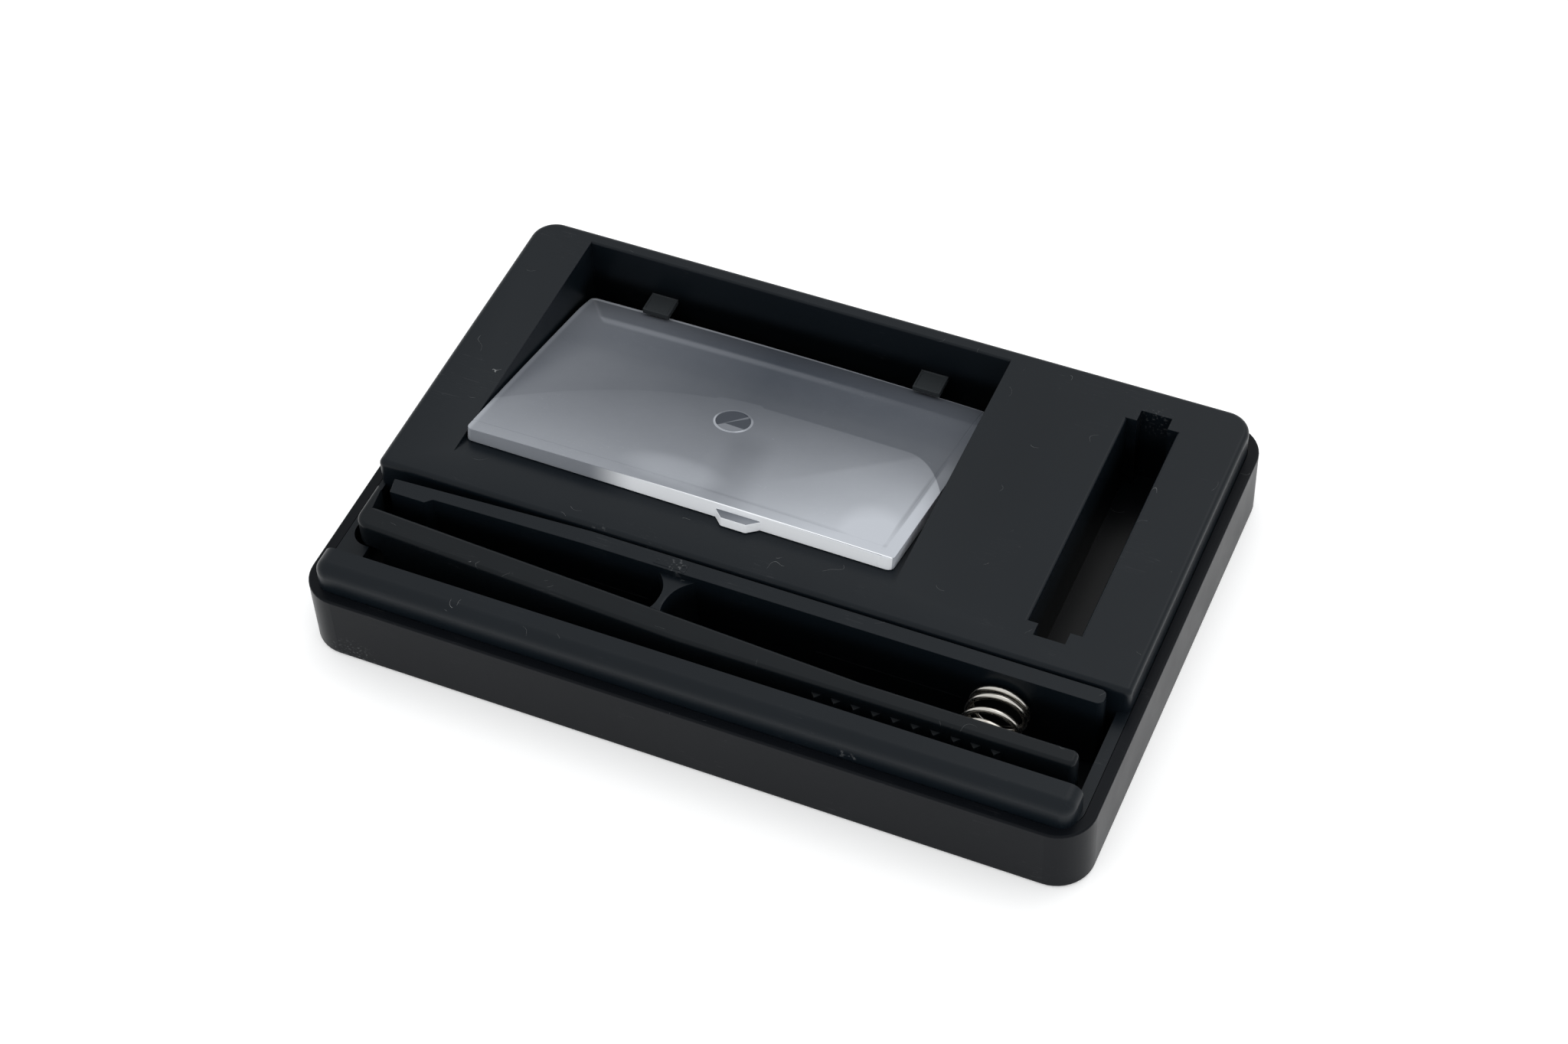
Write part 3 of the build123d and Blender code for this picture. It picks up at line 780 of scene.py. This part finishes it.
@dataclass
class WindowPanel:
    """The opal plate: crowned, bevelled at the rear, grooved inside its rims, with a tab and a gate mark."""

    node: str = "window_panel"
    ramp_angle: float = 14.3
    skew: float = -0.5
    width: float = 76.0
    length: float = 46.87
    edge_height: float = 2.36
    crown_height: float = 0.64
    corner_radius: float = 1.1
    bevel_band: float = 5.0
    bevel_drop: float = 0.45
    groove_inset: float = 2.3
    groove_width: float = 0.35
    groove_depth: float = 0.10
    strip: float = 4.0
    strip_gap: float = 0.8
    edge_break: float = 0.12
    tab_break: float = 0.22
    tab_x: float = 11.2
    tab_root: float = 8.0
    tab_tip: float = 4.4
    tab_reach: float = 1.9
    tab_height: float = 1.75
    gate: tuple[float, float] = (0.26, -1.27)
    gate_radius: float = 3.15
    setback: float = 3.4
    rest_gap: float = 0.12
    recess_front: Point = (-15.9, -12.2, 18.4)

    def __post_init__(self) -> None:
        """Work out the plate's own axes in the part's frame."""
        a = radians(self.ramp_angle)
        self.along = Vector((0.0, cos(a), -sin(a)))
        self.normal = Vector((0.0, sin(a), cos(a)))
        self.middle = (
            Vector(self.recess_front)
            + self.along * (self.setback + self.length / 2)
            + self.normal * self.rest_gap
        )

    def surface(self, x: float, y: float) -> float:
        """The top face's height over the plate's underside, in millimetres.

        Args:
            x: Distance right of the plate's middle.
            y: Distance up the plate from its middle, towards the rear.

        Returns:
            The height.
        """
        half_w, half_l = self.width / 2, self.length / 2
        crown = self.crown_height * (1.0 - 0.72 * (x / half_w) ** 2 - 0.28 * (y / half_l) ** 2)
        height = self.edge_height + crown
        band = max(0.0, y - (half_l - self.bevel_band)) / self.bevel_band
        height -= self.bevel_drop * band
        return height

    def plate(self) -> bpy.types.Object:
        """The plate in its own axes: cut into strips, then its top raised to the crown."""
        half_w, half_l = self.width / 2, self.length / 2
        plate = Bench.block("opal_window", (-half_w, -half_l, 0.0), (half_w, half_l, self.edge_height))
        inset, groove = self.groove_inset, self.groove_width
        across = [-half_w + 0.9 * self.bevel_band] + [half_w - inset - groove * k for k in (0.0, 0.5, 1.0)]
        up = [half_l - self.bevel_band] + [-half_l + inset + groove * k for k in (0.0, 0.5, 1.0)]
        steps_x = [-half_w + self.strip * (i + 1) for i in range(int(self.width / self.strip))]
        steps_y = [-half_l + self.strip * (i + 1) for i in range(int(self.length / self.strip))]
        Bench.cut(plate, 0, across + [v for v in steps_x if min(abs(v - a) for a in across) > self.strip_gap])
        Bench.cut(plate, 1, up + [v for v in steps_y if min(abs(v - a) for a in up) > self.strip_gap])
        groove_x = half_w - inset - groove / 2
        groove_y = -half_l + inset + groove / 2
        for vertex in plate.data.vertices:
            x, y, z = vertex.co / MM
            if z < self.edge_height / 2:
                continue
            height = self.surface(x, y)
            on_right = abs(x - groove_x) < 0.02 and y > groove_y - 0.02
            on_front = abs(y - groove_y) < 0.02 and x < groove_x + 0.02
            if on_right or on_front:
                height -= self.groove_depth
            vertex.co.z = height * MM
        self.round_corners(plate)
        return plate

    def round_corners(self, plate: bpy.types.Object) -> None:
        """Bevel the four upright corners."""
        half_w, half_l = self.width / 2, self.length / 2
        mesh = plate.data
        Bench.select_faces(plate, lambda centre, normal: False)
        for edge in mesh.edges:
            a, b = (mesh.vertices[i].co / MM for i in edge.vertices)
            upright = abs(a.x - b.x) < 0.01 and abs(a.y - b.y) < 0.01
            edge.select = upright and abs(abs(a.x) - half_w) < 0.01 and abs(abs(a.y) - half_l) < 0.01
        Bench.pick(plate)
        bpy.ops.object.mode_set(mode="EDIT")
        bpy.ops.mesh.select_mode(type="EDGE")
        bpy.ops.mesh.bevel(offset=self.corner_radius * MM, segments=4)
        bpy.ops.mesh.select_mode(type="FACE")
        bpy.ops.object.mode_set(mode="OBJECT")

    def finger_tab(self) -> bpy.types.Object:
        """The tab on the front edge, a block whose front is narrowed."""
        half_l = self.length / 2
        root_y, tip_y = -half_l + 1.0, -half_l - self.tab_reach
        half_root, half_tip = self.tab_root / 2, self.tab_tip / 2
        low = (self.tab_x - half_root, tip_y, 0.0)
        high = (self.tab_x + half_root, root_y, self.tab_height)
        tab = Bench.block("finger_tab", low, high)
        Bench.cut(tab, 1, [-half_l])
        Bench.select_faces(tab, lambda centre, normal: normal.y < -0.9)
        bpy.ops.object.mode_set(mode="EDIT")
        ratio = half_tip / half_root
        pivot = (self.tab_x * MM, tip_y * MM, 0.0)
        bpy.ops.transform.resize(value=(ratio, 1.0, 1.0), center_override=pivot)
        bpy.ops.object.mode_set(mode="OBJECT")
        Bench.round_edges(tab, self.tab_break, segments=2)
        return tab

    def gate_mark(self) -> bpy.types.Object:
        """A shallow dish with a raised lip and two facets that meet on a diagonal."""
        x, y = self.gate
        top = self.surface(x, y) - 0.03
        bpy.ops.object.select_all(action="DESELECT")
        bpy.ops.mesh.primitive_cylinder_add(
            vertices=48, radius=self.gate_radius * MM, depth=0.16 * MM,
            location=(x * MM, y * MM, (top + 0.02) * MM),
        )
        mark = Bench.added("gate_mark")
        Bench.select_faces(mark, lambda centre, normal: normal.z > 0.9)
        bpy.ops.object.mode_set(mode="EDIT")
        bpy.ops.mesh.inset(thickness=0.32 * MM, depth=0.0)
        bpy.ops.mesh.extrude_region_move(TRANSFORM_OT_translate={"value": (0, 0, -0.09 * MM)})
        diagonal = (cos(radians(45.0)), sin(radians(45.0)))
        bpy.ops.mesh.bisect(plane_co=(x * MM, y * MM, top * MM), plane_no=(-diagonal[1], diagonal[0], 0.0))
        bpy.ops.object.mode_set(mode="OBJECT")
        for vertex in mark.data.vertices:
            px, py, pz = vertex.co / MM
            reach = ((px - x) ** 2 + (py - y) ** 2) ** 0.5
            if reach < self.gate_radius - 0.25 and pz > top - 0.06:
                away = abs(-(px - x) * diagonal[1] + (py - y) * diagonal[0])
                vertex.co.z -= 0.03 * away * MM
        Bench.round_edges(mark, 0.05, segments=2, angle=40.0)
        return mark

    def build(self) -> None:
        """Model the plate flat, then turn it onto its ramp and dress it."""
        plate = self.plate()
        Bench.round_edges(plate, self.edge_break, segments=2, angle=40.0)
        panel = Bench.join("opal_window", [plate, self.finger_tab(), self.gate_mark()])
        turn = Matrix.Rotation(radians(self.skew), 4, "Z")
        tilt = Matrix.Rotation(-radians(self.ramp_angle), 4, "X")
        panel.matrix_world = Matrix.Translation(self.middle * MM) @ tilt @ turn
        Bench.pick(panel)
        bpy.ops.object.transform_apply(location=True, rotation=True, scale=True)
        Bench.smooth(panel, 32.0)
        finish = OpalAcrylic(
            "opal_acrylic", tuple(self.middle), tuple(self.along), self.skew, self.length, self.width,
            self.gate, self.gate_radius,
        )
        Bench.hand_over(panel, Body.WINDOW, Slot.WINDOW, finish.build(), self.node)


@dataclass
class SprungTongs:
    """The tongs: back arm, hooked lever, flexure web, coil spring and moulding marks."""

    edge_break: float = 0.28
    joint: str = "tongs_squeeze"
    hinge_x: float = -9.8
    squeeze_angle: float = 4.0
    spring_gap: float = 0.06
    web_waist: float = 1.25
    web_head: float = 6.6
    web_foot: float = 2.5
    web_x: float = -9.45
    web_foot_x: float = -10.1
    web_top_drop: float = 1.2
    web_rows: int = 18
    wire: float = 1.0
    closed_pitch: float = 0.95
    open_pitch: float = 2.8
    turns: float = 4.5
    steps_per_turn: int = 36
    finish: bpy.types.Material | None = field(default=None, repr=False)

    def __post_init__(self) -> None:
        """Read where the arms are."""
        self.arm_low, self.arm_high = (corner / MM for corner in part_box("tongs_rear_arm"))
        self.spring_low, self.spring_high = (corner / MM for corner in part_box("tongs_spring"))
        self.web_low, self.web_high = (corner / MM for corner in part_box("tongs_flexure_web"))
        scuffs = (((self.web_x - 0.5, -21.0, self.arm_high.z), 2.6),)
        top = self.arm_high.z
        # Painted shade darkens the tongs' faces from just below their top down.
        self.finish = MouldedPlastic(
            "tongs_black", dust=0.8, lint=0.8, scuffs=scuffs, painted_shade_below=top - 1.5, painted_shade_share=0.35
        ).build()

    def arms(self) -> None:
        """Refine both arms from their CAD shapes."""
        back = Bench.refined("tongs_rear_arm", "back_arm")
        Bench.round_edges(back, self.edge_break, segments=3)
        Bench.hand_over(back, Body.TONGS, Slot.TONGS, self.finish, "tongs_rear_arm")
        lever = Bench.refined("tongs_lever", "hooked_lever")
        Bench.round_edges(lever, self.edge_break * 0.8, segments=3)
        # The lever takes a darker copy of the black plastic.
        darker_lever_black = MouldedPlastic("lever_black", tone=(0.0040, 0.0058, 0.0076), specular=0.14, dust=0.8, lint=0.8)
        Bench.hand_over(lever, Body.LEVER, Slot.TONGS, darker_lever_black.build(), "tongs_lever")

    def web_width(self, run: float) -> float:
        """The web's width at a share of its way from the back arm to the lever."""
        neck = max(0.0, 1.0 - run / 0.68) ** 2.6 * (self.web_head - self.web_waist)
        foot = (max(0.0, run - 0.7) / 0.3) ** 2 * (self.web_foot - self.web_waist)
        return self.web_waist + neck + foot

    def web(self) -> None:
        """The web: a block cut into rows, each row drawn in to the waisted outline."""
        rear, front = self.web_high.y + 0.15, self.web_low.y - 0.3
        bottom, top = self.web_low.z + 0.2, self.web_high.z - self.web_top_drop
        web = Bench.block("waisted_web", (self.web_x - 0.5, front, bottom), (self.web_x + 0.5, rear, top))
        Bench.cut(web, 1, [rear + (front - rear) * (i / self.web_rows) for i in range(1, self.web_rows)])
        Bench.pick(web)
        for row in range(self.web_rows + 1):
            run = row / self.web_rows
            y = rear + (front - rear) * run
            for group in (web.data.vertices, web.data.edges, web.data.polygons):
                group.foreach_set("select", [False] * len(group))
            for vertex in web.data.vertices:
                vertex.select = abs(vertex.co.y / MM - y) < 0.02
            bpy.ops.object.mode_set(mode="EDIT")
            bpy.ops.mesh.select_mode(type="VERT")
            bpy.ops.transform.resize(
                value=(self.web_width(run), 1.0, 1.0), center_override=(self.web_x * MM, y * MM, 0.0)
            )
            bpy.ops.transform.translate(value=((self.web_foot_x - self.web_x) * run * MM, 0.0, 0.0))
            bpy.ops.mesh.select_mode(type="FACE")
            bpy.ops.object.mode_set(mode="OBJECT")
        Bench.round_edges(web, 0.15, segments=2, angle=50.0)
        web.data.materials.append(self.finish)
        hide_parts("tongs_flexure_web")
        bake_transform(web)
        log.info("%s: %d faces, between the arms", web.name, len(web.data.polygons))

    def coil_length(self, turn: float) -> float:
        """How far the coil has advanced after some turns, in units that coil() scales to its space."""
        steps, total = 60, 0.0
        for i in range(steps):
            at = turn * (i + 0.5) / steps
            share = min(max((min(at, self.turns - at) - 0.95) / 0.6, 0.0), 1.0)
            smooth_share = share * share * (3 - 2 * share)
            total += (self.closed_pitch + (self.open_pitch - self.closed_pitch) * smooth_share) * turn / steps
        return total

    def coil(self) -> None:
        """The spring: a wire swept along a helix that closes up at both ends."""
        centre = (self.spring_low + self.spring_high) / 2
        radius = (self.spring_high.x - self.spring_low.x - self.wire) / 2
        rear, front = self.spring_high.y - self.wire / 2, self.spring_low.y + self.wire / 2
        whole = self.coil_length(self.turns)
        count = int(self.turns * self.steps_per_turn)
        curve = bpy.data.curves.new("coil_spring", "CURVE")
        curve.dimensions = "3D"
        curve.bevel_depth = self.wire / 2 * MM
        curve.bevel_resolution = 6
        curve.use_fill_caps = True
        spline = curve.splines.new("POLY")
        spline.points.add(count)
        for i in range(count + 1):
            turn = self.turns * i / count
            angle = 2 * pi * turn - pi / 2
            y = rear + (front - rear) * self.coil_length(turn) / whole
            spline.points[i].co = (
                (centre.x + radius * cos(angle)) * MM, y * MM, (centre.z + radius * sin(angle)) * MM, 1.0
            )
        spring = bpy.data.objects.new("coil_spring", curve)
        bpy.context.scene.collection.objects.link(spring)
        Bench.pick(spring)
        bpy.ops.object.convert(target="MESH")
        spring = bpy.context.view_layer.objects.active
        Bench.smooth(spring, 50.0)
        Bench.hand_over(spring, Body.TONGS, Slot.SPRING, SpringSteel("spring_steel").build(), "tongs_spring")
        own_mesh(spring)

    def arm_low_face(self) -> float:
        """Where the back arm's front face is, beside the spring."""
        return self.spring_high.y + self.spring_gap

    def moulding_marks(self) -> None:
        """The raised gate patch over the web and the parting line along the back arm's front face."""
        face_y = self.arm_low_face()
        top = self.arm_high.z
        patch = Bench.block("gate_patch", (-13.8, -21.9, top - 0.1), (-8.2, -20.1, top + 0.07))
        Bench.round_edges(patch, 0.06, segments=2)
        pieces = [patch]
        blobs = ((-13.3, -21.1, 0.42), (-8.8, -20.8, 0.5), (-10.6, -20.4, 0.25), (-8.6, -22.0, 0.35))
        for x, y, size in blobs:
            bpy.ops.object.select_all(action="DESELECT")
            bpy.ops.mesh.primitive_ico_sphere_add(
                subdivisions=3, radius=size * MM, location=(x * MM, y * MM, top * MM),
                scale=(1.0, 0.7, 0.38),
            )
            blob = Bench.added("gate_blob")
            Bench.smooth(blob, 60.0)
            pieces.append(blob)
        for start, end in ((-33.0, -15.0), (14.3, 39.0)):
            line = Bench.block("parting_line", (start, face_y - 0.05, 9.22), (end, face_y + 0.05, 9.38))
            Bench.round_edges(line, 0.03, segments=2)
            pieces.append(line)
        marks = Bench.join("moulding_marks", pieces)
        Bench.hand_over(marks, Body.TONGS, Slot.TONGS, self.finish)

    def build(self) -> None:
        """Model and dress the tongs."""
        self.arms()
        self.web()
        self.coil()
        self.moulding_marks()


# ---------------------------------------------------------------- studio


@dataclass
class Studio:
    """The camera, the pale sweep and the lights."""

    azimuth: float = 25.647
    elevation: float = 49.075
    roll: float = -3.056
    distance: float = 546.5
    target: Point = (-4.74, 7.97, 0.0)
    lens: float = 74.96

    def camera(self) -> None:
        """Place the camera by the direction it looks from."""
        az, el, roll = (radians(v) for v in (self.azimuth, self.elevation, self.roll))
        back = Vector((sin(az) * cos(el), -cos(az) * cos(el), sin(el)))
        right = (-back).cross(Vector((0, 0, 1))).normalized()
        up = right.cross(-back)
        turned_right = right * cos(roll) + up * sin(roll)
        turned_up = up * cos(roll) - right * sin(roll)
        data = bpy.data.cameras.new("camera")
        data.lens = self.lens
        data.sensor_width = 36.0
        data.clip_start = 0.01
        camera = bpy.data.objects.new("camera", data)
        place = (Vector(self.target) + back * self.distance) * MM
        turn = Matrix((turned_right, turned_up, back)).transposed()
        camera.matrix_world = Matrix.Translation(place) @ turn.to_4x4()
        bpy.context.scene.collection.objects.link(camera)
        bpy.context.scene.camera = camera

    def sweep(self) -> None:
        """A wide pale floor just under the part."""
        bpy.ops.object.select_all(action="DESELECT")
        bpy.ops.mesh.primitive_plane_add(size=6.0, location=(0.0, 0.0, -0.00005))
        floor = Bench.added("studio_floor")
        floor.data.materials.append(StudioPaper().build())

    def light(self, name: str, place: Point, size: float, power: float) -> None:
        """One square softbox, turned towards the part.

        Args:
            name: The light's name.
            place: Where it stands, in metres.
            size: Its side, in metres.
            power: Its power in watts.
        """
        data = bpy.data.lights.new(name, "AREA")
        data.size = size
        data.energy = power
        lamp = bpy.data.objects.new(name, data)
        turn = (-Vector(place)).to_track_quat("-Z", "Y").to_matrix().to_4x4()
        lamp.matrix_world = Matrix.Translation(place) @ turn
        bpy.context.scene.collection.objects.link(lamp)

    def surroundings(self, strength: float) -> None:
        """Even light from all round."""
        world = bpy.data.worlds.new("studio")
        world.use_nodes = True
        background = next(n for n in world.node_tree.nodes if n.type == "BACKGROUND")
        background.inputs["Color"].default_value = (0.985, 0.995, 1.0, 1.0)
        background.inputs["Strength"].default_value = strength
        bpy.context.scene.world = world

    def build(self) -> None:
        """Set the whole studio up."""
        self.camera()
        self.sweep()
        self.surroundings(1.02)
        self.light("key_softbox", (0.25, 0.75, 1.1), 0.9, 3.0)
        bpy.context.scene.view_settings.view_transform = "Standard"


def main() -> None:
    """Build the looks in order."""
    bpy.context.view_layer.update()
    studio = Studio()
    studio.build()
    for assembly in (TrayShell(), DeckMoulding(), PanelClips(), WindowPanel(), SprungTongs()):
        log.info("-- %s", type(assembly).__name__)
        assembly.build()


if __name__ == "__main__":
    main()
